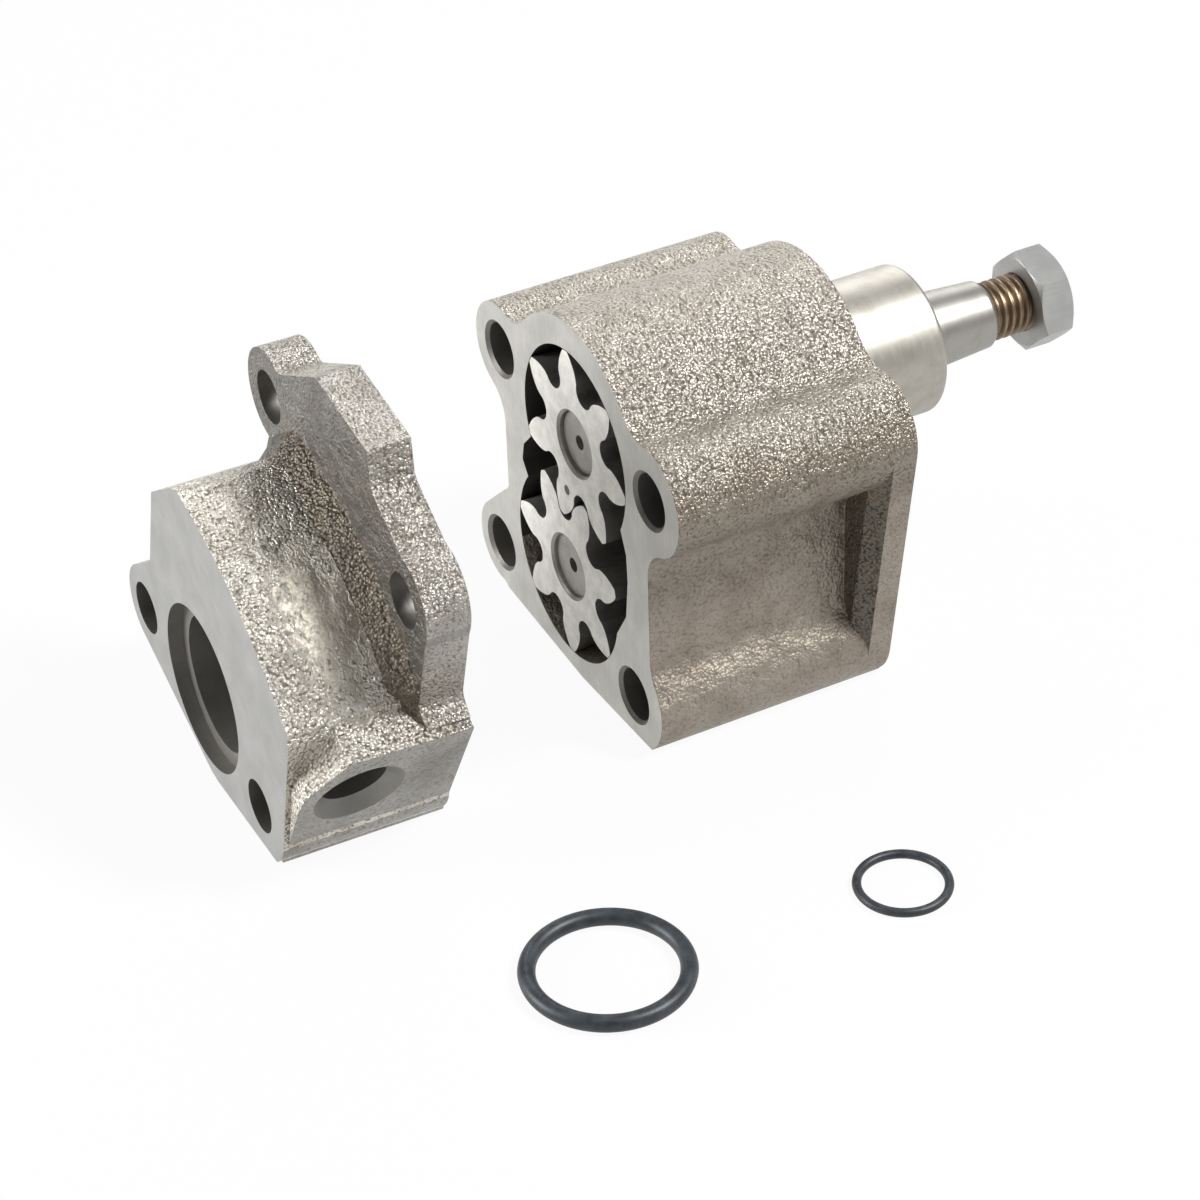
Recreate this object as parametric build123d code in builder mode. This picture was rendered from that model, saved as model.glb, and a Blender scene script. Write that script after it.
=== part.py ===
from build123d import *
import os
from math import acos, atan2, cos, degrees, pi, radians, sin, tan

# Engine oil pump: a cast housing with a pair of seven-tooth gears, its cast cover taken off
# and standing in front of it, and the two seal rings lying beside them.
#
# Frame: +Y runs along the drive shaft towards the nut, +X points right when the gears are
# looked at from the front, +Z is up.  The origin is on the drive axis, in the housing's rear
# face, where the round pilot begins.  All sizes are in millimetres.

# ---- driving dimensions -------------------------------------------------------------

# gears
tooth_count = 7
centre_offset = (-4.55, -30.5)      # idler axis, seen from the drive axis
tip_radius = 19.5
pressure_angle = radians(25)
backlash = 0.3
root_clearance = 0.35
gear_width = 28.0
tip_rounding = 0.5
gear_bore_chamfer = 0.5
gear_bore_radius = 6.5
mesh_angle = -10.0                  # from the line of centres to the nearest drive tooth, degrees

# clearances
tip_clearance = 0.18
end_clearance = 0.05
running_clearance = 0.03
press_gap = 0.01

# housing
housing_depth = 51.0
rest_level = -54.2
dome_radius = 25.7
waist_left = -28.6
waist_right = 27.3
foot_left = (-31.0, -50.9)
boss_centres = {"A": (-29.7, 5.5), "B": (-33.1, -41.35), "C": (20.6, -45.5), "D": (28.5, 3.25)}
boss_radii = {"A": 9.7, "B": 8.7, "C": 10.8, "D": 10.9}
bolt_hole_radius = 5.3
bolt_hole_chamfer = 0.7
valley_blend = 8.0
corner_blend = 2.5
rear_flange_thickness = 5.0
flange_root = 3.2                   # height of the slope at the foot of a cast flange
flange_root_angle = 40

# port pockets beside the gears
right_pocket = [(17.2, -9.2), (19.2, -14.0), (19.5, -19.8), (18.5, -28.5), (14.4, -35.0)]
left_pocket = [(-17.4, -7.4), (-21.1, -11.3), (-22.0, -15.2), (-19.2, -19.2)]
pocket_corner = 1.2

# pilot and bushes
pilot_radius = 15.0
pilot_length = 23.1
pilot_rounding = 1.3
bush_wall = 2.0
bush_length = 18.0
bush_inset = 1.2

# drive shaft
journal_radius = 8.0
shaft_recess = 1.2
centre_drill_radius = 1.5
centre_drill_depth = 1.6
taper_length = 17.2
taper_end_radius = 6.8
taper_chamfer = 0.8
thread_radius = 6.0
thread_length = 15.6
thread_chamfer = 1.0

# idler shaft
idler_press_length = 16.0

# nut
nut_across_flats = 18.0
nut_height = 7.2
nut_lead_in = 8.6
nut_turn = 43.9

# cover
cover_depth = 33.5
cover_flange_thickness = 8.7
cover_root = 4.5
cover_gap = 42.0
cover_shift = (2.0, 2.9)
cover_turn = 9.175
cover_yaw = 1.42
suction_centre = (-5.7, -38.7)
suction_seal_radius = 16.8
suction_seal_depth = 3.0
suction_bore_radius = 13.6
suction_bore_overlap = 4.5          # how far the bore runs into the kidney pocket
side_port_radius = 6.4
side_port_mouth_depth = 2.6
side_port_depth = 22.0
side_port_centre = (36.2, -32.9)
side_port_station = 12.9            # from the cover's front face
side_port_tilt = 20.0
side_pad_arch = 12.0
side_pad_top = 14.2
side_pad_fall = 1.6
side_pad_thickness = 12.0
pad_foot = -26.0
kidney_radius = 5.0
kidney_overlap = 1.8                # how far a kidney pocket cuts into the side port
right_kidney = (14.4, -20.7)
right_kidney_run = 14.0
left_kidney = (-17.5, -19.0)
left_kidney_run = 16.0

# cover outlines, seen from the front in the cover's own axes
resting_foot = (0.5, -57.75)
block_crown = [(-14.5, 3.0), (10.5, -1.9), (33.4, -15.6)]
block_right = [(34.0, -18.0), (31.4, -45.5)]
block_left = [(-2.6, -57.75), (-35.4, -49.7), (-30.2, -27.0), (-27.8, -7.3), (-18, 1.6)]
flange_top = [(-27.8, -20), (-27.8, 5), (-24.5, 14.8), (-8.5, 26.3), (12.9, 26.0), (14.8, 18.4)]
flange_right = [(28.5, 12.5), (37.6, 0), (35.6, -17.0), (39.0, -19.6), (32.2, -43.0)]
flange_foot_x = 28.2
flange_boss_radius = 9.7
flange_blend = 3.0

# seal rings
large_ring_radius = 14.4
large_ring_section = 1.65
large_ring_place = (80.56, -39.16)
small_ring_radius = 8.4
small_ring_section = 0.88
small_ring_place = (86.37, 18.72)

# ---- values that follow -------------------------------------------------------------

front_y = -housing_depth
idler_axis = centre_offset
centre_distance = (centre_offset[0] ** 2 + centre_offset[1] ** 2) ** 0.5
chamber_radius = tip_radius + tip_clearance
chamber_depth = gear_width + end_clearance
chamber_floor_y = front_y + chamber_depth
bush_radius = journal_radius + running_clearance + bush_wall
taper_end_y = pilot_length + taper_length


def across(station):
    """Plane square to the drive axis at this station; its x is +X and its y is +Z."""
    return Plane.XZ.offset(-station)


os.makedirs("parts", exist_ok=True)

# ---- gears --------------------------------------------------------------------------

pitch_radius = centre_distance / 2
base_radius = pitch_radius * cos(pressure_angle)
root_radius = centre_distance - tip_radius - root_clearance
tooth_step = 2 * pi / tooth_count
half_tooth = tooth_step / 4 - backlash / (2 * pitch_radius) + tan(pressure_angle) - pressure_angle
flank_overrun = 1.0


def flank_point(radius, side):
    """Point of the involute flank at this radius; the tooth space is centred on angle 0."""
    roll = acos(min(1, base_radius / radius))
    angle = tooth_step / 2 - half_tooth + tan(roll) - roll
    return (radius * cos(angle), side * radius * sin(angle))


flank_radii = [base_radius + (tip_radius + flank_overrun - base_radius) * step / 6 for step in range(7)]

with BuildSketch() as tooth_space:
    with BuildLine():
        upper_flank = Spline(*[flank_point(radius, 1) for radius in flank_radii])
        lower_flank = Spline(*[flank_point(radius, -1) for radius in flank_radii])
        ThreePointArc(upper_flank @ 0, (root_radius, 0), lower_flank @ 0)
        ThreePointArc(upper_flank @ 1, (tip_radius + flank_overrun, 0), lower_flank @ 1)
    make_face()


def gear_profile(turn):
    """Gear face with one tooth space at this angle, degrees from its x axis."""
    with BuildSketch() as profile:
        Circle(tip_radius)
        with PolarLocations(0, tooth_count, start_angle=turn):
            add(tooth_space.sketch, mode=Mode.SUBTRACT)
        tip_corners = profile.vertices().filter_by(
            lambda corner: abs(Vector(corner).length - tip_radius) < 0.01)
        fillet(tip_corners, tip_rounding)
        Circle(gear_bore_radius, mode=Mode.SUBTRACT)
    return profile.sketch


line_of_centres = degrees(atan2(centre_offset[1], centre_offset[0]))
step_degrees = 360 / tooth_count


def make_gear(label, axis, turn):
    """One gear, its front face flush with the housing's face."""
    with BuildPart() as gear:
        with BuildSketch(across(front_y + gear_width)):
            with Locations(axis):
                add(gear_profile(turn))
        extrude(amount=gear_width)
        bore_edges = gear.edges().filter_by(GeomType.CIRCLE).filter_by(
            lambda edge: abs(edge.radius - gear_bore_radius) < 0.01)
        chamfer(bore_edges, gear_bore_chamfer)
    gear.part.label = label
    export_step(gear.part, f"parts/{label}.step")
    return gear.part


make_gear("drive_gear", (0, 0), line_of_centres + mesh_angle + step_degrees / 2)
make_gear("idler_gear", idler_axis, line_of_centres + 180 - mesh_angle)

# ---- housing ------------------------------------------------------------------------

far = 150


def cut_level(level):
    """Take everything under this level off the sketch in hand."""
    with Locations((0, level)):
        Rectangle(far, far, align=(Align.CENTER, Align.MAX), mode=Mode.SUBTRACT)


def close_valleys(blend):
    """Round every inward corner of the sketch in hand and leave the outward ones."""
    offset(amount=blend, kind=Kind.ARC)
    offset(amount=-blend, kind=Kind.ARC)


def strap(first, second):
    """The band round two bosses, with straight tangent sides."""
    with BuildSketch() as band:
        for name in (first, second):
            with Locations(boss_centres[name]):
                Circle(boss_radii[name])
        make_hull()
    return band.sketch


web_top = (waist_left - 1.4, boss_centres["B"][1] + 14.6)
web_foot = (boss_centres["B"][0] - 0.72 * boss_radii["B"], boss_centres["B"][1] + 0.7 * boss_radii["B"])

with BuildSketch() as housing_outline:
    Circle(dome_radius)
    with BuildLine():
        Polyline(
            (waist_left, 0), (waist_left, foot_left[1]), foot_left, (0, rest_level),
            (waist_right, rest_level), (waist_right, 0), close=True,
        )
    make_face()
    for name in ("A", "C", "D"):
        with Locations(boss_centres[name]):
            Circle(boss_radii[name])
    close_valleys(valley_blend)
    with Locations(boss_centres["B"]):
        Circle(boss_radii["B"])
    with BuildLine():
        Polyline(web_top, web_foot, boss_centres["B"], (0, boss_centres["B"][1]), (0, web_top[1]), close=True)
    make_face()
    close_valleys(corner_blend)
    cut_level(rest_level)

with BuildSketch() as rear_outline:
    add(housing_outline.sketch)
    add(strap("C", "D"))
    add(strap("A", "B"))
    cut_level(rest_level)

pocket_bends = right_pocket[1:-1] + left_pocket[1:-1]

with BuildSketch() as chamber_outline:
    Circle(chamber_radius)
    with Locations(idler_axis):
        Circle(chamber_radius)
    with BuildLine():
        Polyline((0, right_pocket[0][1]), *right_pocket, (0, right_pocket[-1][1]), close=True)
    make_face()
    with BuildLine():
        Polyline((0, left_pocket[0][1]), *left_pocket, (0, left_pocket[-1][1]), close=True)
    make_face()
    pocket_corners = chamber_outline.vertices().filter_by(
        lambda corner: min((Vector(corner) - Vector(*place)).length for place in pocket_bends) < 0.01)
    fillet(pocket_corners, pocket_corner)

with BuildPart() as pump_housing:
    with BuildSketch(across(0)):
        add(housing_outline.sketch)
    extrude(amount=housing_depth)
    with BuildSketch(across(0)):
        add(rear_outline.sketch)
    extrude(amount=rear_flange_thickness)
    for pair in (("C", "D"), ("A", "B")):
        with BuildSketch(across(-rear_flange_thickness)):
            add(strap(*pair))
            cut_level(rest_level)
        extrude(amount=flange_root, taper=flange_root_angle)
    with BuildSketch(across(pilot_length)):
        Circle(pilot_radius)
    extrude(amount=pilot_length)
    pilot_rim = pump_housing.edges().filter_by(GeomType.CIRCLE).sort_by(Axis.Y)[-1]
    fillet(pilot_rim, pilot_rounding)
    with BuildSketch(across(chamber_floor_y)):
        add(chamber_outline.sketch)
    extrude(amount=chamber_depth, mode=Mode.SUBTRACT)
    with BuildSketch(across(pilot_length)):
        Circle(bush_radius + press_gap)
    extrude(amount=pilot_length - chamber_floor_y, mode=Mode.SUBTRACT)
    with BuildSketch(across(chamber_floor_y + idler_press_length)):
        with Locations(idler_axis):
            Circle(gear_bore_radius - running_clearance + press_gap)
    extrude(amount=idler_press_length, mode=Mode.SUBTRACT)
    with BuildSketch(across(0)):
        with Locations(*boss_centres.values()):
            Circle(bolt_hole_radius)
    extrude(amount=housing_depth, mode=Mode.SUBTRACT)
    hole_rims = pump_housing.edges().filter_by(GeomType.CIRCLE).filter_by(
        lambda edge: abs(edge.radius - bolt_hole_radius) < 0.01)
    chamfer(hole_rims, bolt_hole_chamfer)
pump_housing.part.label = "pump_housing"
export_step(pump_housing.part, "parts/pump_housing.step")

# ---- bushes -------------------------------------------------------------------------


def make_bush(label, start):
    """A plain bush pressed into the pilot's bore, its front end at this station."""
    with BuildPart() as bush:
        with BuildSketch(across(start + bush_length)):
            Circle(bush_radius)
            Circle(journal_radius + running_clearance, mode=Mode.SUBTRACT)
        extrude(amount=bush_length)
    bush.part.label = label
    export_step(bush.part, f"parts/{label}.step")
    return bush.part


make_bush("front_bush", chamber_floor_y + bush_inset)
make_bush("rear_bush", pilot_length - bush_inset - bush_length)

# ---- shafts -------------------------------------------------------------------------

seat_radius = gear_bore_radius - press_gap
journal_start = front_y + gear_width
shaft_front = front_y + shaft_recess
thread_start = taper_end_y
thread_end = thread_start + thread_length

with BuildPart() as drive_shaft:
    with BuildSketch(Plane.XY):
        with BuildLine():
            Polyline(
                (0, shaft_front + centre_drill_depth),
                (centre_drill_radius, shaft_front),
                (seat_radius, shaft_front),
                (seat_radius, journal_start),
                (journal_radius, journal_start),
                (journal_radius, pilot_length),
                (taper_end_radius, taper_end_y - taper_chamfer),
                (thread_radius, taper_end_y),
                (thread_radius, thread_end - thread_chamfer),
                (thread_radius - thread_chamfer, thread_end),
                (0, thread_end),
                close=True,
            )
        make_face()
    revolve(axis=Axis.Y)
drive_shaft.part.label = "drive_shaft"
export_step(drive_shaft.part, "parts/drive_shaft.step")

idler_shaft_radius = gear_bore_radius - running_clearance

with BuildPart() as idler_shaft:
    with BuildSketch(across(chamber_floor_y + idler_press_length)):
        with Locations(idler_axis):
            Circle(idler_shaft_radius)
    extrude(amount=idler_press_length + chamber_depth - shaft_recess)
    front_face = idler_shaft.faces().sort_by(Axis.Y)[0]
    with Locations(front_face):
        CounterSinkHole(0.2, centre_drill_radius, depth=centre_drill_depth, counter_sink_angle=60)
idler_shaft.part.label = "idler_shaft"
export_step(idler_shaft.part, "parts/idler_shaft.step")

# ---- nut ----------------------------------------------------------------------------

nut_start = taper_end_y + nut_lead_in
nut_corner_radius = nut_across_flats / 3 ** 0.5
nut_bevel = nut_corner_radius - nut_across_flats / 2

with BuildPart() as shaft_nut:
    with BuildSketch(across(nut_start + nut_height)):
        RegularPolygon(nut_across_flats / 2, 6, major_radius=False, rotation=nut_turn)
    extrude(amount=nut_height)
    with BuildSketch(Plane.XY):
        with BuildLine():
            Polyline(
                (0, nut_start),
                (nut_across_flats / 2, nut_start),
                (nut_corner_radius + 1, nut_start + (nut_bevel + 1) * tan(radians(30))),
                (nut_corner_radius + 1, nut_start + nut_height - (nut_bevel + 1) * tan(radians(30))),
                (nut_across_flats / 2, nut_start + nut_height),
                (0, nut_start + nut_height),
                close=True,
            )
        make_face()
    revolve(axis=Axis.Y, mode=Mode.INTERSECT)
    with BuildSketch(across(nut_start + nut_height)):
        Circle(thread_radius + press_gap)
    extrude(amount=nut_height, mode=Mode.SUBTRACT)
shaft_nut.part.label = "shaft_nut"
export_step(shaft_nut.part, "parts/shaft_nut.step")

# ---- cover --------------------------------------------------------------------------

turn = radians(cover_turn)
yaw = radians(cover_yaw)
cover_right = Vector(cos(turn) * cos(yaw), -cos(turn) * sin(yaw), -sin(turn))
cover_back = Vector(sin(yaw), cos(yaw), 0)
cover_origin = Vector(cover_shift[0], front_y - cover_gap - cover_depth, cover_shift[1])
cover_up = cover_right.cross(cover_back)


def cover_across(station):
    """Plane square to the cover's own axis, this far behind its front face."""
    return Plane(cover_origin + cover_back * station, x_dir=cover_right, z_dir=-cover_back)


def cover_point(x, y, z):
    """Place given in the cover's own axes."""
    return cover_origin + cover_right * x + cover_back * y + cover_up * z


port_tilt = radians(side_port_tilt)
port_way_out = cover_right * cos(port_tilt) - cover_up * sin(port_tilt)
port_middle = cover_point(side_port_centre[0], side_port_station, side_port_centre[1])
port_plane = Plane(port_middle, x_dir=cover_back, z_dir=port_way_out)
kidney_depth = cover_depth - side_port_station - side_port_radius + kidney_overlap
suction_bore_depth = cover_depth - kidney_depth + suction_bore_overlap
boss_c = boss_centres["C"]


def on_flat(x):
    """Height of the cover's resting flat at this x, in the cover's own axes."""
    return resting_foot[1] + tan(turn) * (x - resting_foot[0])


with BuildSketch() as block_outline:
    with BuildLine():
        ThreePointArc(*block_crown)
        Polyline(block_crown[-1], *block_right, boss_c, (boss_c[0], on_flat(boss_c[0])), resting_foot)
        Polyline(resting_foot, *block_left, block_crown[0])
    make_face()
    for name in ("B", "C"):
        with Locations(boss_centres[name]):
            Circle(boss_radii[name])
    with BuildLine():
        Polyline(web_top, web_foot, boss_centres["B"], (0, boss_centres["B"][1]), (0, web_top[1]), close=True)
    make_face()
    close_valleys(corner_blend)

with BuildSketch() as cover_flange_outline:
    with BuildLine():
        Polyline(
            *flange_top, *flange_right, (flange_foot_x, on_flat(flange_foot_x)),
            resting_foot, suction_centre, close=True,
        )
    make_face()
    for name in ("A", "D"):
        with Locations(boss_centres[name]):
            Circle(flange_boss_radius)
    close_valleys(flange_blend)
    add(block_outline.sketch)

pad_rear = cover_depth - side_port_station

with BuildSketch() as side_pad_outline:
    Circle(side_pad_arch)
    with BuildLine():
        Polyline(
            (-side_pad_arch, 0), (-side_pad_arch, pad_foot), (pad_rear, pad_foot),
            (pad_rear, side_pad_top - side_pad_fall), (-4, side_pad_top),
            (-0.8 * side_pad_arch, 0.6 * side_pad_arch), close=True,
        )
    make_face()

with BuildSketch() as half_plane_under_flat:
    with BuildLine():
        Polyline((-far, on_flat(-far)), (far, on_flat(far)), (far, -2 * far), (-far, -2 * far), close=True)
    make_face()

with BuildPart() as pump_cover:
    with BuildSketch(cover_across(cover_depth)):
        add(block_outline.sketch)
        add(half_plane_under_flat.sketch, mode=Mode.SUBTRACT)
    extrude(amount=cover_depth)
    with BuildSketch(cover_across(cover_depth)):
        add(cover_flange_outline.sketch)
        add(half_plane_under_flat.sketch, mode=Mode.SUBTRACT)
    extrude(amount=cover_flange_thickness)
    with BuildSketch(cover_across(cover_depth - cover_flange_thickness)):
        add(block_outline.sketch)
        offset(amount=cover_root * tan(radians(flange_root_angle)))
        add(cover_flange_outline.sketch, mode=Mode.INTERSECT)
    extrude(amount=cover_root, taper=flange_root_angle)
    with BuildSketch(port_plane):
        add(side_pad_outline.sketch)
    extrude(amount=-side_pad_thickness)
    with BuildSketch(cover_across(cover_depth)):
        add(half_plane_under_flat.sketch)
    extrude(amount=cover_depth, mode=Mode.SUBTRACT)
    with BuildSketch(cover_across(suction_bore_depth)):
        with Locations(suction_centre):
            Circle(suction_bore_radius)
    extrude(amount=suction_bore_depth, mode=Mode.SUBTRACT)
    with BuildSketch(cover_across(suction_seal_depth)):
        with Locations(suction_centre):
            Circle(suction_seal_radius)
    extrude(amount=suction_seal_depth, mode=Mode.SUBTRACT)
    with BuildSketch(cover_across(cover_depth)):
        with Locations(*boss_centres.values()):
            Circle(bolt_hole_radius)
    extrude(amount=cover_depth, mode=Mode.SUBTRACT)
    with BuildSketch(cover_across(cover_depth)):
        with Locations(right_kidney):
            SlotCenterToCenter(right_kidney_run, 2 * kidney_radius, rotation=90)
        with Locations(left_kidney):
            SlotCenterToCenter(left_kidney_run, 2 * kidney_radius, rotation=90)
    extrude(amount=kidney_depth, mode=Mode.SUBTRACT)
    with BuildSketch(port_plane):
        Circle(side_port_radius)
    extrude(amount=-side_port_depth, mode=Mode.SUBTRACT)
    port_rim = pump_cover.edges().filter_by(GeomType.CIRCLE).filter_by(
        lambda edge: abs(edge.radius - side_port_radius) < 0.01).sort_by_distance(port_plane.origin)[0]
    chamfer(port_rim, side_port_mouth_depth)
pump_cover.part.label = "pump_cover"
export_step(pump_cover.part, "parts/pump_cover.step")

# ---- seal rings ---------------------------------------------------------------------


def make_ring(label, place, centre_radius, section):
    """A seal ring lying on the level that the housing rests on."""
    middle = Plane((place[0], place[1] - housing_depth, rest_level + section))
    with BuildPart() as ring:
        with BuildSketch(Plane(middle.origin, x_dir=(1, 0, 0), z_dir=(0, -1, 0))):
            with Locations((centre_radius, 0)):
                Circle(section)
        revolve(axis=Axis(middle.origin, (0, 0, 1)))
    ring.part.label = label
    export_step(ring.part, f"parts/{label}.step")
    return ring.part


make_ring("large_o_ring", large_ring_place, large_ring_radius, large_ring_section)
make_ring("small_o_ring", small_ring_place, small_ring_radius, small_ring_section)
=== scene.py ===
# %% [markdown]
# # An engine oil pump, dressed from its solids
# The object is a gear pump that feeds oil to an engine: a cast iron housing with two meshing
# gears, a drive shaft that leaves it through a turned pilot, a taper and a thread with its nut,
# a cast cover taken off and set down in front, and two rubber seal rings.
# The solids give every shape and size.  This lesson adds what a solid has not got: the sandy
# skin of a casting, tool marks, a real screw thread, the gloss of ground steel, and the light.
#
# ## The fixed frame
# Everything is measured from the imported solids, in metres.  The origin is on the drive axis in
# the housing's rear face; +Y runs to the nut, +Z is up.

import bpy
from mathutils import Matrix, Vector
import numpy as np


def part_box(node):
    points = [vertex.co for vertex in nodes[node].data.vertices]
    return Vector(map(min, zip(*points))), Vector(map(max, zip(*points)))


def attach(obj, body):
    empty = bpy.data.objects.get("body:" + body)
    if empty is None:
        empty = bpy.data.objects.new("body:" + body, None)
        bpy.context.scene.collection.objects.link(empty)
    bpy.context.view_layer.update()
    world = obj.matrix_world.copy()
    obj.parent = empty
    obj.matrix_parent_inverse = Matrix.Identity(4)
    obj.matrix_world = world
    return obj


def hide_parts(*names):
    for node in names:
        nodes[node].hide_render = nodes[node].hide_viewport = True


MM = 0.001
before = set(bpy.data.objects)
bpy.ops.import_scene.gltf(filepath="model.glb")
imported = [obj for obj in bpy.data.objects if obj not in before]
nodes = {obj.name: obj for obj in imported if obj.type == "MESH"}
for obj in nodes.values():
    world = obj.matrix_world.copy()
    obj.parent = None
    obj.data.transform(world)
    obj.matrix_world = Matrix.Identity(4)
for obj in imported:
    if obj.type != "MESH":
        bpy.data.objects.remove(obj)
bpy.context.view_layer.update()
print("nodes:", sorted(nodes))

# %% [markdown]
# ## The camera
# A product picture of a heavy small part is taken from a little above, with a long lens that
# keeps parallel edges nearly parallel.  The view is given in the way a photographer would set
# it up: the way the camera looks, as an angle round the part and an angle down, a small roll of
# the camera on its tripod, the place it stands, and the lens.

# %% Camera
AROUND = 62.196       # degrees from +Y, seen from above
DOWN = 34.958         # degrees below level
ROLL = 2.009          # degrees, the tripod is not quite level
STANDS_AT = np.array([530.85, -326.62, 382.37]) * MM
LENS = 113.39         # mm on a 36 mm wide sensor


def viewing_matrix(around, down, roll, place):
    """4x4 matrix of a camera: its columns are right, up, backwards and the place."""
    a, d, r = np.radians([around, down, roll])
    ahead = np.array([-np.sin(a) * np.cos(d), np.cos(a) * np.cos(d), -np.sin(d)])
    level_right = np.array([np.cos(a), np.sin(a), 0.0])
    level_up = np.cross(level_right, ahead)
    up = np.cos(r) * level_up + np.sin(r) * level_right
    matrix = np.eye(4)
    matrix[:3, 0] = np.cross(ahead, up)
    matrix[:3, 1] = up
    matrix[:3, 2] = -ahead
    matrix[:3, 3] = place
    return matrix


scene = bpy.context.scene
camera_data = bpy.data.cameras.new("studio_camera")
camera_data.sensor_width = 36.0
camera_data.lens = LENS
camera_data.clip_start = 0.01
camera = bpy.data.objects.new("studio_camera", camera_data)
scene.collection.objects.link(camera)
camera.matrix_world = Matrix(viewing_matrix(AROUND, DOWN, ROLL, STANDS_AT).tolist())
scene.camera = camera
scene.view_settings.view_transform = "Standard"
print("camera", round(float(np.linalg.norm(STANDS_AT)), 3), "m from the origin")

# %% [markdown]
# ## Finishes as small node graphs
# Each finish below is a Principled shader fed by procedural patterns.  A few helpers keep the
# graphs readable: `node` adds a node and fills its sockets, `pattern` is a noise measured in
# millimetres, and `shade` turns a pattern into colours or numbers.  All patterns read Object
# coordinates.  The solids sit at the origin with their place in the mesh, so the patterns stay
# fixed on the metal when a gear turns.

# %% Helpers for finishes


class Finish:
    """One material under construction: its nodes, its links and its Principled shader."""

    def __init__(self, name):
        self.material = bpy.data.materials.new(name)
        self.material.use_nodes = True
        self.tree = self.material.node_tree
        self.shader = self.tree.nodes["Principled BSDF"]
        self.place = self.node("ShaderNodeTexCoord").outputs["Object"]

    def plug(self, value, socket):
        """Links a pattern to a socket, or sets the plain value on it."""
        if isinstance(value, bpy.types.NodeSocket):
            self.tree.links.new(value, socket)
        else:
            socket.default_value = value

    def node(self, kind, settings=(), **sockets):
        """Adds a node; settings are its properties, sockets its inputs by name, values or links."""
        made = self.tree.nodes.new(kind)
        for key, value in dict(settings).items():
            setattr(made, key, value)
        for key, value in sockets.items():
            self.plug(value, made.inputs[key.replace("_", " ")])
        return made

    def feed(self, socket, value):
        """Plugs a pattern or a plain value into one of the shader's sockets."""
        self.plug(value, self.shader.inputs[socket])

    def stretched(self, x=1.0, y=1.0, z=1.0, turn=(0.0, 0.0, 0.0)):
        """The object's coordinates, turned and stretched, for brushed or turned patterns."""
        mapping = self.node("ShaderNodeMapping", Vector=self.place)
        mapping.inputs["Scale"].default_value = (x, y, z)
        mapping.inputs["Rotation"].default_value = turn
        return mapping.outputs["Vector"]

    def pattern(self, grain_mm, detail=3.0, rough=0.55, where=None):
        """Noise from 0 to 1 whose lumps are about grain_mm across."""
        return self.node("ShaderNodeTexNoise", Vector=where or self.place,
                         Scale=1.0 / (grain_mm * MM), Detail=detail, Roughness=rough).outputs["Fac"]

    def shade(self, value, stops):
        """Maps 0..1 to colours: stops are (position, colour) pairs, a colour may be one number."""
        ramp = self.node("ShaderNodeValToRGB", Fac=value)
        band = ramp.color_ramp
        while len(band.elements) < len(stops):
            band.elements.new(1.0)
        for element, (position, colour) in zip(band.elements, stops):
            element.position = position
            tone = (colour,) * 3 if isinstance(colour, float) else colour
            element.color = (*tone, 1.0)
        return ramp.outputs["Color"]

    def math(self, operation, a, b=0.0):
        """One sum on two patterns or numbers."""
        made = self.tree.nodes.new("ShaderNodeMath")
        made.operation = operation
        for value, socket in zip((a, b), made.inputs):
            self.plug(value, socket)
        return made.outputs[0]

    def blend(self, share, under, over, way="MIX"):
        """Colour under where share is 0, over where it is 1."""
        mix = self.tree.nodes.new("ShaderNodeMix")
        mix.data_type = "RGBA"
        mix.blend_type = way
        for value, number in ((share, 0), (under, 6), (over, 7)):
            self.plug(value, mix.inputs[number])
        return mix.outputs[2]

    def relief(self, height, depth_mm, under=None):
        """Bump whose full height is depth_mm, laid over an earlier one if given."""
        bump = self.node("ShaderNodeBump", Height=height, Strength=1.0, Distance=depth_mm * MM)
        if under is not None:
            self.tree.links.new(under, bump.inputs["Normal"])
        return bump.outputs["Normal"]


print("finish helpers ready")

# %% [markdown]
# ## Cast skin
# Sand casting leaves a skin of small rounded lumps, here about 0.6 mm across.
# Shot blasting polishes their tops and leaves grey scale in the pits, so height and colour come
# from the same pattern; the dark of the pits is partly painted shade in the creases.  Where the
# sand was packed hard, or a grinder has passed, the skin is calm.  The `calm` share says where:
# 0 keeps the full relief, 1 takes most of it away.  The `lower_shade` share paints shade on the
# skin lower down, and ambient occlusion paints brown shade into the valleys.
# A Bevel node turns the normal near sharp edges, because a cast edge is never sharp.

# %% Cast skin
LUMP_SIZE = 0.62       # mm, as all the sizes of this skin
BEND_GRAIN, BEND_REACH = 0.8, 0.4
GRIT_SIZE = 0.78
WAVE_SIZE, WAVE_DEPTH = 3.6, 1.0
CLOUD_SIZE = 8.0
VALLEY_REACH = 9.0
CAST_EDGE = 0.6
VALLEY_SHADE_BROWN = (0.25, 0.205, 0.155, 1.0)
CLOUD_BROWN = (0.22, 0.17, 0.125, 1.0)
LOWER_SHADE_TINT = (0.64, 0.60, 0.56, 1.0)


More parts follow.
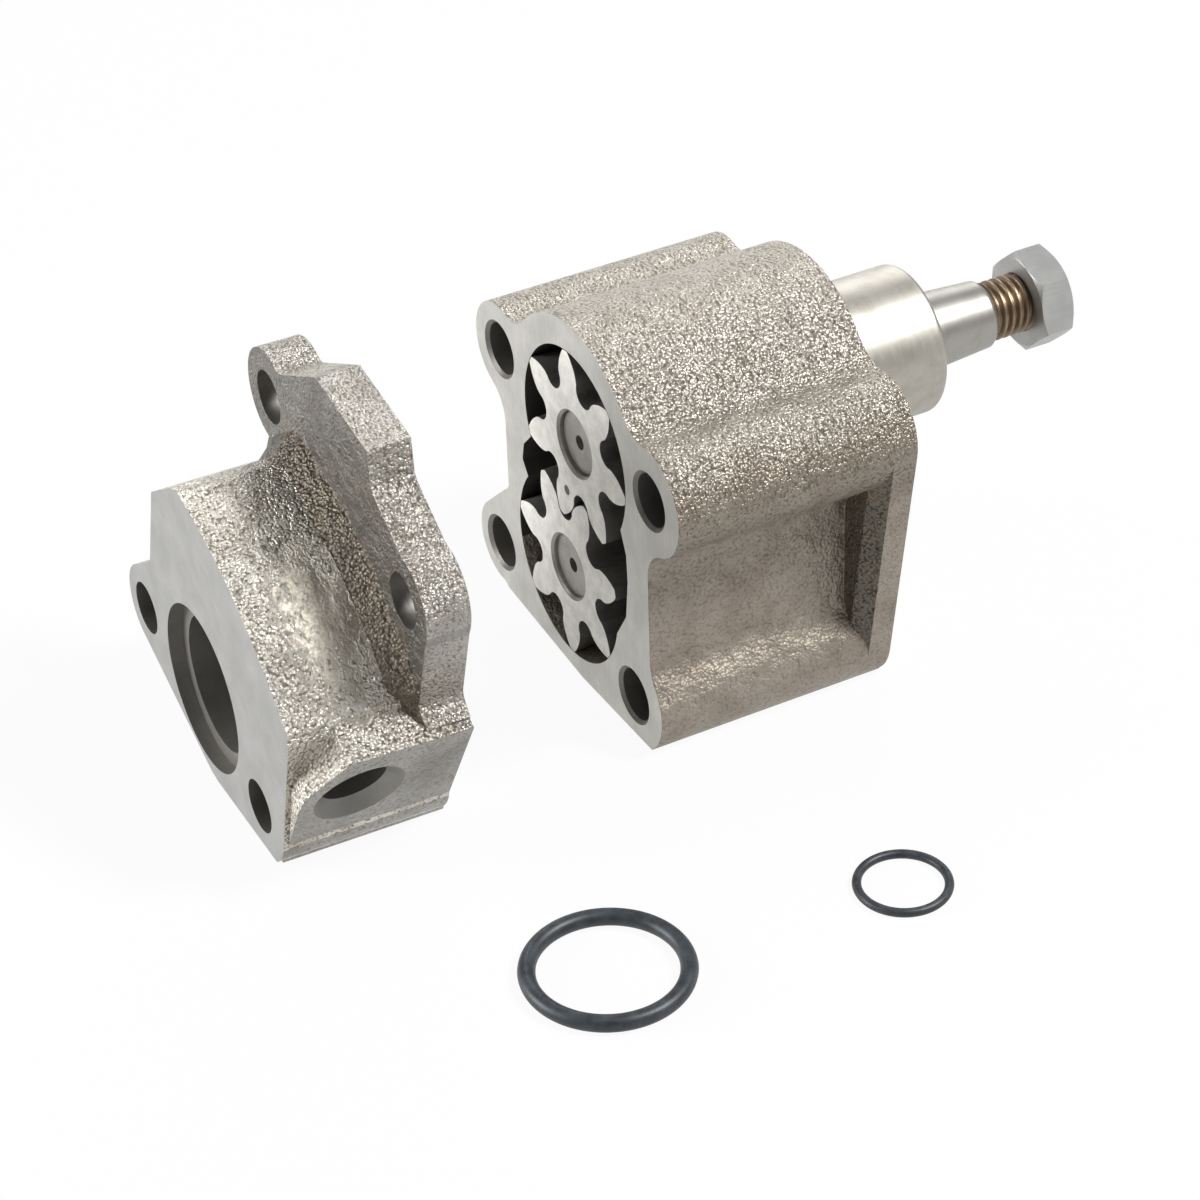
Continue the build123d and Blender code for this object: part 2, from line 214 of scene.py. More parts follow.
def cast_skin(name, depth_mm, light, dark, smooth, calm, brown_share, lower_shade=None):
    """Lumpy skin: relief, colour and gloss from lumps and grit; painted brown shade in the valleys, brown
    stains in clouds.
    """
    skin = Finish(name)
    calm_share = calm(skin)
    bend = skin.node("ShaderNodeTexNoise", Vector=skin.place, Scale=1.0 / (BEND_GRAIN * MM),
                     Detail=2.0).outputs["Color"]
    bent = skin.node("ShaderNodeVectorMath", {"operation": "MULTIPLY_ADD"})
    for value, socket in zip((bend, (BEND_REACH * MM,) * 3, skin.place), bent.inputs):
        skin.plug(value, socket)
    cells = skin.node("ShaderNodeTexVoronoi", Vector=bent.outputs[0],
                      Scale=1.0 / (LUMP_SIZE * MM)).outputs["Distance"]
    lumps = skin.math("SUBTRACT", 0.85, skin.math("MULTIPLY", cells, cells))
    grit = skin.pattern(GRIT_SIZE, 3.0, 0.58)
    height = skin.math("ADD", skin.math("MULTIPLY", lumps, 0.6), skin.math("MULTIPLY", grit, 0.7))
    # Colour from height: light lump tops and dark pits; the pits are partly grey scale, partly painted crease
    # shade.
    pit_scale_and_shade = skin.shade(height, [(0.46, 0.0), (0.66, 1.0)])
    tone = skin.blend(pit_scale_and_shade, (*dark, 1.0), (*light, 1.0))
    tone = skin.blend(skin.math("MULTIPLY", calm_share, 0.85), tone, (*smooth, 1.0))
    # Ambient occlusion darkens and browns the hollows: painted shade in the valleys, tinted brown. The same
    # share also sets the brown stain clouds.
    valley_shade = skin.node("ShaderNodeAmbientOcclusion", {"samples": 6, "only_local": True},
                       Distance=VALLEY_REACH * MM).outputs["AO"]
    tone = skin.blend(skin.shade(valley_shade, [(0.25, brown_share), (0.93, 0.0)]), tone, VALLEY_SHADE_BROWN)
    cloud = skin.pattern(CLOUD_SIZE, 4.0, 0.6)
    tone = skin.blend(skin.shade(cloud, [(0.42, 0.0), (0.72, 0.9 * brown_share)]), tone, CLOUD_BROWN)
    # Painted shade: the tone is multiplied darker where this share says.
    if lower_shade is not None:
        tone = skin.blend(lower_shade(skin), tone, LOWER_SHADE_TINT, "MULTIPLY")
    skin.feed("Base Color", tone)
    skin.feed("Metallic", 0.9)
    dull = skin.math("MULTIPLY", calm_share, 0.28)
    sparkle = skin.shade(height, [(0.45, 0.50), (0.80, 0.36)])
    skin.feed("Roughness", skin.math("ADD", sparkle, dull))
    soft_edge = skin.node("ShaderNodeBevel", {"samples": 4}, Radius=CAST_EDGE * MM).outputs["Normal"]
    share = skin.math("SUBTRACT", 1.0, skin.math("MULTIPLY", calm_share, 0.7))
    waves = skin.relief(skin.pattern(WAVE_SIZE, 1.0, 0.5), WAVE_DEPTH, soft_edge)
    skin.feed("Normal", skin.relief(skin.math("MULTIPLY", height, share), depth_mm, waves))
    return skin.material


def evenly(share, size_mm=15.0, low=0.5, high=0.7):
    """A calm share that comes and goes in patches of size_mm, up to share."""
    return lambda skin: skin.shade(skin.pattern(size_mm, 3.0, 0.6), [(low, 0.0), (high, share)])


def below(top_mm, foot_mm, share):
    """Grows from 0 at one height to share at a lower one, with a ragged edge; for calm or for painted shade
    lower down.
    """
    def graph(skin):
        level = skin.node("ShaderNodeSeparateXYZ", Vector=skin.place).outputs["Z"]
        ragged = skin.math("ADD", level, skin.math("MULTIPLY", skin.pattern(6.0, 2.0, 0.5), 6 * MM))
        return skin.node("ShaderNodeMapRange", Value=ragged, From_Min=(top_mm + 3) * MM,
                         From_Max=(foot_mm + 3) * MM, To_Min=0.0, To_Max=share).outputs["Result"]
    return graph


def around(centre_mm, reach_mm, share):
    """A calm share inside an ellipsoid, where a grinder has passed; deep pits are left in it."""
    def graph(skin):
        spot = skin.node("ShaderNodeMapping", Vector=skin.place)
        spot.inputs["Scale"].default_value = tuple(1.0 / (r * MM) for r in reach_mm)
        spot.inputs["Location"].default_value = tuple(-c / r for c, r in zip(centre_mm, reach_mm))
        far = skin.node("ShaderNodeVectorMath", {"operation": "LENGTH"},
                        Vector=spot.outputs["Vector"]).outputs["Value"]
        pits = skin.pattern(2.2, 5.0, 0.7, skin.stretched(1.0, 1.6, 1.0, (0.0, 0.0, 0.5)))
        ragged = skin.math("ADD", skin.math("MULTIPLY", far, 0.8), skin.math("MULTIPLY", pits, 2.6))
        return skin.node("ShaderNodeMapRange", Value=ragged, From_Min=1.70, From_Max=1.95,
                         To_Min=share, To_Max=0.0).outputs["Result"]
    return graph


# The housing's last argument paints shade on its skin below the dome.
housing_skin = cast_skin("cast_housing_skin", 0.6, (0.475, 0.442, 0.388), (0.28, 0.258, 0.22),
                         (0.62, 0.59, 0.54), below(-4.0, -12.0, 0.7), 0.4, below(15.0, 8.0, 0.95))
# A near-black copy of the skin for the flange roots: painted shade in those valleys.
root_shade_skin = cast_skin("cast_root_shade_skin", 0.5, (0.13, 0.118, 0.097), (0.07, 0.061, 0.049),
                      (0.09, 0.081, 0.067), evenly(0.3), 0.5)
crown_skin = cast_skin("cast_crown_skin", 0.75, (0.72, 0.687, 0.616), (0.31, 0.285, 0.237),
                       (0.76, 0.71, 0.625), around((20.5, -112.5, -6.0), (20.0, 11.0, 20.0), 1.0), 0.45)
# The rim: a darker copy of the cover's skin, toned to the light its faces get; painted shade.
rim_shade_skin = cast_skin("cast_rim_shade_skin", 0.7, (0.51, 0.487, 0.444), (0.27, 0.25, 0.217),
                     (0.34, 0.325, 0.31), evenly(0.7), 0.5)
# The cover flange's front face beside the block: a dark copy of the skin, painted shade.
flange_shade_skin = cast_skin("cast_flange_shade_skin", 0.45, (0.18, 0.172, 0.158), (0.12, 0.113, 0.10),
                        (0.13, 0.124, 0.112), evenly(0.6), 0.35)
# The pad: a darker copy of the cover's skin, toned to the light its faces get; painted shade.
pad_shade_skin = cast_skin("cast_pad_shade_skin", 0.4, (0.36, 0.348, 0.326), (0.24, 0.228, 0.208),
                     (0.30, 0.29, 0.27), evenly(0.8), 0.35)
print("cast skins made")

# %% [markdown]
# ## Machined iron, turned steel and ground steel
# A milled face keeps the fine parallel marks of the cutter, and a turned one keeps rings round
# its axis.  Most of them are smoother than the skin, because the tool has cut into clean metal.

# %% Machined iron


def cut_face(name, tone, depth, turn, squeeze=(1.0, 1.0, 0.06)):
    """Milled iron: noise stretched into fine lines, with faint stains."""
    face = Finish(name)
    lines = face.pattern(0.35, 2.0, 0.5, face.stretched(*squeeze, turn))
    stains = face.pattern(7.0, 4.0, 0.6)
    fine = face.pattern(0.25, 2.0, 0.5)
    dark = tuple(0.80 * c for c in tone)
    colour = face.blend(face.shade(stains, [(0.35, 0.0), (0.7, 1.0)]), (*dark, 1.0), (*tone, 1.0))
    colour = face.blend(face.shade(lines, [(0.3, 0.0), (0.7, 0.22)]), colour, (0.30, 0.285, 0.26, 1.0))
    face.feed("Base Color", colour)
    face.feed("Metallic", 0.8)
    face.feed("Roughness", face.shade(fine, [(0.3, 0.34), (0.7, 0.5)]))
    face.feed("Normal", face.relief(lines, depth))
    return face.material


def bored(name, tone):
    """Inside of a drilled or bored hole: dull, a little oily, with scratches along its rings."""
    hole = Finish(name)
    rings = hole.pattern(0.5, 2.0, 0.5, hole.stretched(0.15, 1.0, 0.15))
    stains = hole.pattern(5.0, 3.0, 0.6)
    dark = tuple(0.62 * c for c in tone)
    hole.feed("Base Color", hole.blend(stains, (*dark, 1.0), (*tone, 1.0)))
    hole.feed("Metallic", 0.7)
    hole.feed("Roughness", 0.5)
    hole.feed("Normal", hole.relief(rings, 0.03))
    return hole.material


DIAGONAL = (0.0, 0.7, 0.0)
joint_face = cut_face("milled_joint_face", (0.62, 0.604, 0.565), 0.015, DIAGONAL)
seat_face = cut_face("milled_seat_face", (0.44, 0.437, 0.425), 0.02, DIAGONAL)
bolt_bore = bored("drilled_hole", (0.25, 0.237, 0.217))
# The chamber's bored wall is near black: painted shade of the deep chamber over bored iron.
chamber_bore_shade = bored("bored_chamber_shade", (0.10, 0.094, 0.086))
seat_bore = bored("bored_seal_seat", (0.31, 0.297, 0.275))
print("machined finishes made")

# %% Steel


def turned(name, tone, rough, mark_mm, depth, brown_share=0.15):
    """Steel turned about +Y: the noise is squeezed along Y only, so it forms rings."""
    steel = Finish(name)
    rings = steel.pattern(mark_mm, 2.0, 0.5, steel.stretched(0.02, 1.0, 0.02))
    blush = steel.pattern(4.0, 3.0, 0.6)
    dark = (tone[0] * 0.66, tone[1] * 0.62, tone[2] * 0.56)
    colour = steel.blend(steel.shade(blush, [(0.45, 0.0), (0.8, brown_share * 3)]), (*tone, 1.0), (*dark, 1.0))
    steel.feed("Base Color", colour)
    steel.feed("Metallic", 0.95)
    steel.feed("Roughness", steel.shade(rings, [(0.3, rough), (0.7, rough + 0.10)]))
    steel.feed("Normal", steel.relief(rings, depth))
    return steel.material


def sintered(name, tone, metallic, rough, dot=None):
    """Gear steel pressed from powder: pale, with fine pores; dot is the place of a punched mark, painted as a
    dark disc of shade.
    """
    powder = Finish(name)
    pores = powder.pattern(0.22, 3.0, 0.6)
    cloud = powder.pattern(3.2, 4.0, 0.65)
    dark = tuple(0.80 * c for c in tone)
    colour = powder.blend(powder.shade(cloud, [(0.36, 0.0), (0.62, 1.0)]), (*dark, 1.0), (*tone, 1.0))
    # Painted shade: a near-black disc where the punched dimple is.
    if dot is not None:
        away = powder.node("ShaderNodeVectorMath", {"operation": "DISTANCE"}, Vector=powder.place)
        away.inputs[1].default_value = tuple(c * MM for c in dot)
        mark = powder.shade(powder.math("DIVIDE", away.outputs["Value"], 2 * MM), [(0.46, 1.0), (0.58, 0.0)])
        colour = powder.blend(mark, colour, (0.09, 0.075, 0.06, 1.0))
    powder.feed("Base Color", colour)
    powder.feed("Metallic", metallic)
    powder.feed("Roughness", powder.shade(pores, [(0.3, rough), (0.7, rough + 0.14)]))
    powder.feed("Normal", powder.relief(pores, 0.012))
    return powder.material


pilot_steel = turned("turned_pilot", (0.46, 0.438, 0.395), 0.42, 0.25, 0.0015, 0.2)
shaft_steel = turned("ground_shaft", (0.37, 0.357, 0.33), 0.38, 0.22, 0.002)
thread_steel = turned("rolled_thread", (0.27, 0.205, 0.145), 0.38, 0.40, 0.006, 0.25)
nut_steel = cut_face("bright_nut", (0.50, 0.50, 0.49), 0.02, (0.0, 0.0, 0.0), (1.0, 0.07, 1.0))
gear_face = sintered("sintered_gear_face", (0.88, 0.86, 0.81), 0.30, 0.45)
marked_gear_face = sintered("marked_gear_face", (0.88, 0.86, 0.81), 0.30, 0.45, (-3.72, -51.0, -12.31))
# Near-black centre drill: painted shade inside its cone.
centre_drill_shade = sintered("centre_drill_shade", (0.05, 0.035, 0.024), 0.3, 0.5)
gear_flank = sintered("rubbed_gear_flank", (0.34, 0.33, 0.31), 0.75, 0.36)
shaft_end = sintered("faced_shaft_end", (0.42, 0.395, 0.37), 0.5, 0.42)
bush_bronze = turned("bush_bronze", (0.60, 0.47, 0.29), 0.32, 0.30, 0.006)
print("steel finishes made")

# %% [markdown]
# ## Seal rubber
# The rings are moulded nitrile rubber: nearly black with a blue-grey bloom, dull but not matt.

# %% Rubber
rubber = Finish("seal_rubber")
bloom = rubber.pattern(2.5, 4.0, 0.65)
rubber.feed("Base Color", rubber.shade(bloom, [(0.35, (0.018, 0.021, 0.025)), (0.75, (0.045, 0.056, 0.066))]))
rubber.feed("Roughness", 0.46)
rubber.feed("Normal", rubber.relief(rubber.pattern(0.3, 2.0, 0.5), 0.02))
seal_rubber = rubber.material
print("rubber made")

# %% [markdown]
# ## Painting a casting face by face
# A casting is one solid with many finishes: skin outside, milled faces, drilled holes.  The mesh
# stays as it is; each triangle only gets the number of the finish it wears.  The rules read the
# middle and the normal of every triangle as whole arrays, so no triangle is visited by hand.

# %% Face painter


def triangles(node):
    """Middle (mm) and unit normal of every face of a node, as two arrays."""
    faces = node.data.polygons
    middle = np.empty(len(faces) * 3, np.float32)
    normal = np.empty(len(faces) * 3, np.float32)
    faces.foreach_get("center", middle)
    faces.foreach_get("normal", normal)
    return middle.reshape(-1, 3) / MM, normal.reshape(-1, 3)


def wear(node, finishes, chosen):
    """Gives the node its list of finishes, and each face its number in that list."""
    node.data.materials.clear()
    for finish in finishes:
        node.data.materials.append(finish)
    node.data.polygons.foreach_set("material_index", np.asarray(chosen, np.int32))
    node.data.update()
    counts = np.bincount(chosen, minlength=len(finishes))
    print(node.name, {finish.name: int(n) for finish, n in zip(finishes, counts)})


def off_axis(points, centre):
    """Distance from an axis along Y through centre (x, z)."""
    return np.hypot(points[:, 0] - centre[0], points[:, 2] - centre[1])


BOLTS = [(-29.7, 5.5), (-33.1, -41.35), (20.6, -45.5), (28.5, 3.25)]
DRIVE, IDLER = (0, 0), (-4.55, -30.5)
FRONT = -51.0
FACING = 0.9           # how square to an axis a normal must be to belong to a flat face
NEAR = 0.1             # mm, how near to a flat face a middle must be to belong to it

# %% The housing's faces
BOLT_REACH = 6.0       # mm from the axis, as every reach
CHAMBER_REACH = {DRIVE: 22.5, IDLER: 20.3}
CHAMBER_FROM, CHAMBER_TO = FRONT + 0.2, FRONT + 28.2
WALL_REACH = 20.5
PILOT_REACH, SHAFT_BORE_REACH = 12, 10.3
ROOT_FROM, ROOT_TO = -8.3, -4.9
middle, normal = triangles(nodes["pump_housing"])
SKIN, MILLED, HOLE, CHAMBER, PILOT, FLANGE_ROOT = range(6)
worn = np.full(len(middle), SKIN)
worn[(normal[:, 1] < -FACING) & (middle[:, 1] < FRONT + NEAR)] = MILLED
worn[(normal[:, 1] > FACING) & (np.abs(middle[:, 1]) < NEAR)] = MILLED
for centre in BOLTS:
    worn[(off_axis(middle, centre) < BOLT_REACH) & (np.abs(normal[:, 1]) < FACING)] = HOLE
# Chambers, shaft bore and pockets wear the near-black bored finish: painted shade of the recesses.
inside = ((off_axis(middle, DRIVE) < CHAMBER_REACH[DRIVE])
          | (off_axis(middle, IDLER) < CHAMBER_REACH[IDLER]))
worn[inside & (middle[:, 1] > CHAMBER_FROM) & (middle[:, 1] < CHAMBER_TO)
     & ((off_axis(middle, DRIVE) < WALL_REACH) | (np.abs(middle[:, 2] + 17) < 17))] = CHAMBER
worn[(middle[:, 1] > NEAR) & (off_axis(middle, DRIVE) > PILOT_REACH)] = PILOT
worn[(off_axis(middle, DRIVE) < SHAFT_BORE_REACH)] = CHAMBER
# The flange root wears the near-black root skin: painted shade.
worn[(normal[:, 1] < -0.3) & (middle[:, 1] < ROOT_TO) & (middle[:, 1] > ROOT_FROM)
     & (worn == SKIN)] = FLANGE_ROOT
in_pocket = ((np.abs(middle[:, 0] + 1.4) < 21.2) & (np.abs(middle[:, 2] + 21.5) < 15)
             & (middle[:, 1] > CHAMBER_FROM))
worn[in_pocket & (worn == SKIN) & (middle[:, 1] < -15)] = CHAMBER
wear(nodes["pump_housing"],
     [housing_skin, joint_face, bolt_bore, chamber_bore_shade, pilot_steel, root_shade_skin], worn)

# %% The cover's faces
TURN, YAW = np.radians([9.175, 1.42])
COVER_RIGHT = np.array([np.cos(TURN) * np.cos(YAW), -np.cos(TURN) * np.sin(YAW), -np.sin(TURN)])
COVER_BACK = np.array([np.sin(YAW), np.cos(YAW), 0.0])
COVER_UP = np.cross(COVER_RIGHT, COVER_BACK)
COVER_AXES = np.stack([COVER_RIGHT, COVER_BACK, COVER_UP])
COVER_ORIGIN = np.array([2.0, -126.5, 2.9])


def in_cover(points):
    """Points (mm) in the cover's own axes: right, back from its front face, up."""
    return (points - COVER_ORIGIN) @ COVER_AXES.T


RIM_FROM = 24.9        # mm back from the cover's front face, as the next four
FLANGE_FACE = 24.8
COVER_ROOT_FROM, COVER_ROOT_TO = 20.2, 24.7
JOINT_FROM = 33.3
COVER_BOLT_REACH = 5.6
SUCTION, SUCTION_REACH = (-5.7, -38.7), 17.0
SIDE_PORT = np.array([36.2, 12.9, -32.9])     # the middle of its mouth, in the cover's own axes
SIDE_PORT_REACH, SIDE_PORT_FROM, SIDE_PORT_TO = 8.95, -22.1, -0.05
PORT_WAY = np.array([np.cos(np.radians(20)), 0.0, -np.sin(np.radians(20))])
middle, normal = triangles(nodes["pump_cover"])
spot, lean = in_cover(middle), normal @ COVER_AXES.T
CROWN, RIM, FLANGE, ROOT, PAD, SEAT, JOINT, HOLE, PORT = range(9)
worn = np.full(len(spot), CROWN)
# Rim, flange front, root and pad wear darker copies of the cover's skin: painted shade.
worn[spot[:, 1] > RIM_FROM] = RIM
worn[(lean[:, 1] < -FACING) & (np.abs(spot[:, 1] - FLANGE_FACE) < NEAR)] = FLANGE
worn[(lean[:, 1] < -0.3) & (spot[:, 1] > COVER_ROOT_FROM) & (spot[:, 1] < COVER_ROOT_TO)] = ROOT
worn[lean @ PORT_WAY > 0.98] = PAD
worn[(lean[:, 2] < -FACING)] = PAD
worn[(lean[:, 1] < -FACING) & (spot[:, 1] < NEAR)] = SEAT
worn[(lean[:, 1] > FACING) & (spot[:, 1] > JOINT_FROM)] = JOINT
for centre in BOLTS:
    worn[(off_axis(spot, centre) < COVER_BOLT_REACH)] = HOLE
worn[(off_axis(spot, SUCTION) < SUCTION_REACH) & (worn != JOINT)] = PORT
along = (spot - SIDE_PORT) @ PORT_WAY
from_port = np.linalg.norm(spot - SIDE_PORT - along[:, None] * PORT_WAY, axis=1)
worn[(from_port < SIDE_PORT_REACH) & (along < SIDE_PORT_TO) & (along > SIDE_PORT_FROM)] = PORT
wear(nodes["pump_cover"], [crown_skin, rim_shade_skin, flange_shade_skin, root_shade_skin, pad_shade_skin, seat_face, joint_face,
                           bolt_bore, seat_bore], worn)

# %% Gears, shafts, nut and bushes
DRILL_REACH = 1.5      # mm, radius of a centre drill's mouth
for name, face_finish in (("drive_gear", marked_gear_face), ("idler_gear", gear_face)):
    middle, normal = triangles(nodes[name])
    wear(nodes[name], [gear_flank, face_finish], (np.abs(normal[:, 1]) > FACING).astype(int))
middle, normal = triangles(nodes["idler_shaft"])
wear(nodes["idler_shaft"], [shaft_end, centre_drill_shade], (off_axis(middle, IDLER) < DRILL_REACH).astype(int))
for name, finish in (("drive_shaft", shaft_steel), ("shaft_nut", nut_steel),
                     ("front_bush", bush_bronze), ("rear_bush", bush_bronze),
                     ("large_o_ring", seal_rubber), ("small_o_ring", seal_rubber)):
    wear(nodes[name], [finish], np.zeros(len(nodes[name].data.polygons), int))

# %% [markdown]
# ## The drive shaft with its thread
# The solid has a plain cylinder where the real shaft has an M12 thread.  The new shaft is one
# surface: its radius is a function of the way along the axis and the angle round it.  On the
# thread the radius follows a triangle wave of (way along / pitch + angle / one turn), which is
# what makes the ridge climb as a helix.  The plus makes this helix left-handed; a usual thread
# is right-handed, which takes a minus.  The surface stands for the solid shaft, which stays in
# place for collision.

# %% Surface helper


def revolved_piece(name, rings, closed_ends=True):
    """Mesh of stacked rings: rings is (rows, columns, 3) in mm; the ends close on their middles."""
    rows, columns, _ = rings.shape
    points = rings.reshape(-1, 3)
    row, column = np.meshgrid(np.arange(rows - 1), np.arange(columns), indexing="ij")
    after = (column + 1) % columns
    quads = np.stack([row * columns + column, row * columns + after,
                      (row + 1) * columns + after, (row + 1) * columns + column], -1).reshape(-1, 4)
    faces = quads.tolist()
    if closed_ends:
        points = np.vstack([points, rings[0].mean(0), rings[-1].mean(0)])
        ring = np.arange(columns)
        following = (ring + 1) % columns
        start, end = rows * columns, rows * columns + 1
        faces += np.stack([following, ring, np.full(columns, start)], -1).tolist()
        last = (rows - 1) * columns
        faces += np.stack([last + ring, last + following, np.full(columns, end)], -1).tolist()
    mesh = bpy.data.meshes.new(name)
    mesh.from_pydata((points * MM).tolist(), [], faces)
    mesh.update()
    piece = bpy.data.objects.new(name, mesh)
    scene.collection.objects.link(piece)
    mesh.polygons.foreach_set("use_smooth", np.ones(len(mesh.polygons), bool))
    return piece


# %% Shaft surface
PITCH = 1.75
CREST, CORE = 5.97, 4.98
THREAD_FROM, THREAD_TO = 40.3, 55.9
RUN_OUT, POINT = 1.2, 1.0
GEAR_END = -48.0
profile_y = np.array([-48.2, -49.75, -49.8, -49.8, -49.6, -23.02, -23.0, 23.1, 39.5, 40.28, THREAD_FROM])
profile_r = np.array([0.02, 1.45, 1.5, 6.25, 6.45, 6.49, 7.99, 7.99, 6.85, 6.2, 5.2])
thread_y = np.arange(THREAD_FROM + 0.02, THREAD_TO, PITCH / 16)
COLUMNS = 96
angle = np.linspace(0, 2 * np.pi, COLUMNS, endpoint=False)


def dense(y, r, step):
    """Adds stations to a profile where its runs are longer than step."""
    along = np.concatenate([[0], np.cumsum(np.hypot(np.diff(y), np.diff(r)))])
    extra = np.unique(np.concatenate([along, np.arange(0, along[-1], step)]))
    return np.interp(extra, along, y), np.interp(extra, along, r)


def thread_radius(y, turn):
    """Radius of a thread: a clipped triangle wave of the helix phase, here a left-handed one."""
    phase = (y / PITCH + turn / (2 * np.pi)) % 1.0
    wave = np.clip(1.55 - 3.1 * np.abs(phase - 0.5) * 1.25, 0.0, 1.0)
    run_out = np.clip((y - THREAD_FROM) / RUN_OUT, 0.0, 1.0) * 0.75 + 0.25
    point = np.clip((THREAD_TO - y) / POINT, 0.0, 1.0)
    return CORE + (CREST - CORE) * wave * run_out - 0.9 * (1 - point) * wave


plain_y, plain_r = dense(profile_y, profile_r, 1.5)
grid_y = np.concatenate([np.repeat(plain_y[:, None], COLUMNS, 1), np.repeat(thread_y[:, None], COLUMNS, 1)])
grid_r = np.concatenate([np.repeat(plain_r[:, None], COLUMNS, 1),
                         thread_radius(thread_y[:, None], angle[None, :])])
rings = np.stack([grid_r * np.sin(angle), grid_y, grid_r * np.cos(angle)], -1)
shaft = revolved_piece("threaded_drive_shaft", rings)
middle, normal = triangles(shaft)
worn = (middle[:, 1] > THREAD_FROM).astype(int)
worn[middle[:, 1] < GEAR_END] = 2
worn[(middle[:, 1] < GEAR_END) & (off_axis(middle, DRIVE) < DRILL_REACH)] = 3
wear(shaft, [shaft_steel, thread_steel, shaft_end, centre_drill_shade], worn)
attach(shaft, "drive_rotor")
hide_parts("drive_shaft")
print("thread turns:", round((THREAD_TO - THREAD_FROM) / PITCH, 1))

# %% [markdown]
# ## Seal rings
# A moulded ring shows a hair-thin line where the two halves of its mould met.  The ring is a
# circle carried round a circle, and the line is a tiny rise of the radius on the outer and on
# the inner side.

# %% Rings
BODY, RISE = 0.985, 0.015      # shares of the section's radius
LINE_WIDTH = 0.08              # radians round the section


def seal_ring(name, node, body, centre, ring_radius, section):
    """Torus with a parting line; round_ is the angle along the ring, across the one round its section."""
    round_, across = np.meshgrid(np.linspace(0, 2 * np.pi, 192, endpoint=False),
                                 np.linspace(0, 2 * np.pi, 40, endpoint=False), indexing="ij")
    radius = section * (BODY + RISE * np.exp(-(np.sin(across) / LINE_WIDTH) ** 2))
    out = ring_radius + radius * np.cos(across)
    points = np.stack([centre[0] + out * np.cos(round_), centre[1] + out * np.sin(round_),
                       centre[2] + radius * np.sin(across)], -1)
    points = np.concatenate([points, points[:1]])
    piece = revolved_piece(name, points, closed_ends=False)
    piece.data.materials.append(seal_rubber)
    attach(piece, body)
    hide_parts(node)
    print(name, "inside diameter, mm:", 2 * (ring_radius - section))


for name, node in (("large_seal_ring", "large_o_ring"), ("small_seal_ring", "small_o_ring")):
    low, high = (np.array(corner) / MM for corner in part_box(node))
    section = (high[2] - low[2]) / 2
    seal_ring(name, node, "pump", (low + high) / 2, (high[0] - low[0]) / 2 - section, section)

# %% [markdown]
# ## Stage and light
# The part lies on a seamless pale floor in a white light tent.  The world is the tent.  It lights
# the part softly, a little more from above.  What the metal mirrors is white at the horizon,
# dark grey just above it and a lighter grey overhead, so that lumps and edges have something to
# mirror.  A small lamp high up at the back right and two larger ones on the left, one behind
# the part and one in front of it, give the faces their different tones.

# %% Rays that see the background


def background_rays(tree, share):
    """Share of the background shown to rays from the camera, from gloss and through glass."""
    path = tree.nodes.new("ShaderNodeLightPath")
    total = path.outputs["Is Camera Ray"]
    for kind in ("Is Glossy Ray", "Is Transmission Ray"):
        add = tree.nodes.new("ShaderNodeMath")
        add.operation = "ADD"
        tree.links.new(total, add.inputs[0])
        tree.links.new(path.outputs[kind], add.inputs[1])
        total = add.outputs[0]
    scaled = tree.nodes.new("ShaderNodeMath")
    scaled.operation = "MULTIPLY"
    scaled.use_clamp = True
    scaled.inputs[1].default_value = share
    tree.links.new(total, scaled.inputs[0])
    return scaled.outputs[0]


# %% Floor
FLOOR_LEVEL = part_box("pump_housing")[0][2]
floor_mesh = bpy.data.meshes.new("floor")
HALF = 3.0
floor_mesh.from_pydata([(-HALF, -HALF, FLOOR_LEVEL), (HALF, -HALF, FLOOR_LEVEL),
                        (HALF, HALF, FLOOR_LEVEL), (-HALF, HALF, FLOOR_LEVEL)], [], [(0, 1, 2, 3)])
floor = bpy.data.objects.new("floor", floor_mesh)
scene.collection.objects.link(floor)
paper = bpy.data.materials.new("white_paper")
paper.use_nodes = True
tree = paper.node_tree
tree.nodes["Principled BSDF"].inputs["Base Color"].default_value = (0.60, 0.60, 0.595, 1.0)
tree.nodes["Principled BSDF"].inputs["Roughness"].default_value = 0.9
glow = tree.nodes.new("ShaderNodeEmission")
glow.inputs["Color"].default_value = (1.0, 1.0, 1.0, 1.0)
mixed = tree.nodes.new("ShaderNodeMixShader")
tree.links.new(background_rays(tree, 0.94), mixed.inputs[0])
tree.links.new(tree.nodes["Principled BSDF"].outputs[0], mixed.inputs[1])
tree.links.new(glow.outputs[0], mixed.inputs[2])
tree.links.new(mixed.outputs[0], tree.nodes["Material Output"].inputs["Surface"])
floor_mesh.materials.append(paper)

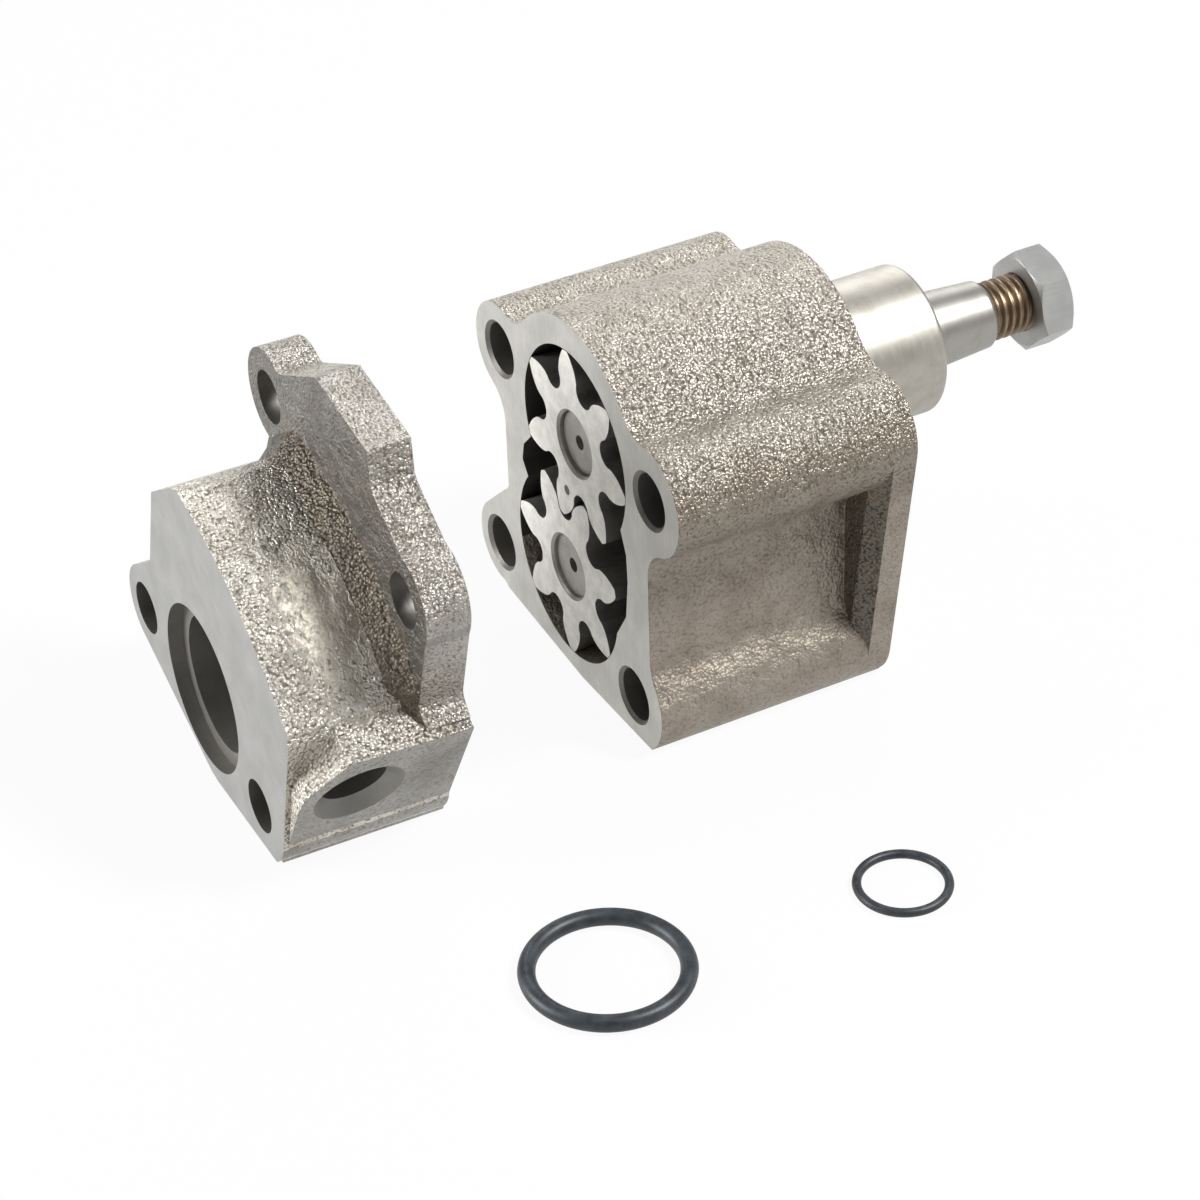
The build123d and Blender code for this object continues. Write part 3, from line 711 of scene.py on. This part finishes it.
# %% Tent and lamps
world = bpy.data.worlds.new("light_tent")
world.use_nodes = True
scene.world = world
tree = world.node_tree
direction = tree.nodes.new("ShaderNodeTexCoord")
split = tree.nodes.new("ShaderNodeSeparateXYZ")
tree.links.new(direction.outputs["Generated"], split.inputs[0])


def sky(stops):
    """Background whose grey depends on how high a ray looks: stops are (height, grey) pairs."""
    ramp = tree.nodes.new("ShaderNodeValToRGB")
    tree.links.new(split.outputs["Z"], ramp.inputs["Fac"])
    while len(ramp.color_ramp.elements) < len(stops):
        ramp.color_ramp.elements.new(1.0)
    for element, (height, grey) in zip(ramp.color_ramp.elements, stops):
        element.position = height
        element.color = (grey, grey, grey, 1.0)
    made = tree.nodes.new("ShaderNodeBackground")
    tree.links.new(ramp.outputs["Color"], made.inputs["Color"])
    return made.outputs[0]


mixed = tree.nodes.new("ShaderNodeMixShader")
tree.links.new(background_rays(tree, 1.0), mixed.inputs[0])
tree.links.new(sky([(0.0, 0.12), (0.85, 0.30)]), mixed.inputs[1])
tree.links.new(sky([(0.03, 1.0), (0.14, 0.10), (0.9, 0.28)]), mixed.inputs[2])
tree.links.new(mixed.outputs[0], tree.nodes["World Output"].inputs["Surface"])


def soft_lamp(name, place, aim, size, watts):
    """Square soft lamp at place (m), turned to face aim."""
    data = bpy.data.lights.new(name, "AREA")
    data.size = size
    data.energy = watts
    lamp = bpy.data.objects.new(name, data)
    back = np.array(place, float) - np.array(aim, float)
    back /= np.linalg.norm(back)
    side = np.cross([0.0, 0.0, 1.0], back)
    side /= np.linalg.norm(side)
    matrix = np.eye(4)
    matrix[:3, 0], matrix[:3, 1], matrix[:3, 2], matrix[:3, 3] = side, np.cross(back, side), back, place
    lamp.matrix_world = Matrix(matrix.tolist())
    scene.collection.objects.link(lamp)


AIM = (0.01, -0.05, -0.02)
soft_lamp("overhead_lamp", (0.40, 0.44, 0.79), AIM, 0.20, 13.0)
soft_lamp("back_left_lamp", (-0.80, 0.42, 0.45), AIM, 0.55, 3.5)
soft_lamp("front_left_lamp", (-0.40, -1.00, 0.30), AIM, 0.5, 12.0)
print("floor level, mm:", round(FLOOR_LEVEL / MM, 2))
